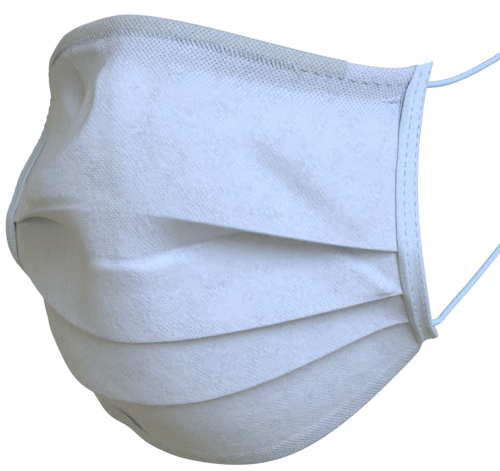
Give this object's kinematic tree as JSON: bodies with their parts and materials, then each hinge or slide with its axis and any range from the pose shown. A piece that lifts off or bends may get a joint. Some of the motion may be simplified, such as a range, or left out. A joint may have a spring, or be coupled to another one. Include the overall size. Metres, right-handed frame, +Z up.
{
  "type": "face mask",
  "caption": "Pleated non-woven cloth face mask in its worn form, with a stitched top hem over a nose wire, side bindings and elastic ear loops.",
  "frame": {"origin": "the seat on the bridge of the wearer's nose, in the inner layer of the top hem on the centre line", "axes": "+X to the wearer's left, +Y back towards the wearer's face, +Z up; the mask faces -Y"},
  "size_m": [0.1652, 0.1392, 0.1259],
  "materials": {
    "cloth": "soft matt non-woven felt with a fine embossed dot pattern",
    "tape": "matt non-woven tape with a row of stitches",
    "elastic": "fine knitted elastic cord",
    "wire": "matt plastic sheath over soft wire"
  },
  "bodies": {
    "root": {"body_panel": "cloth", "nose_wire": "wire", "side_binding_left": "tape", "side_binding_right": "tape", "ear_loop_left": "elastic", "ear_loop_right": "elastic"}
  },
  "joints": []
}
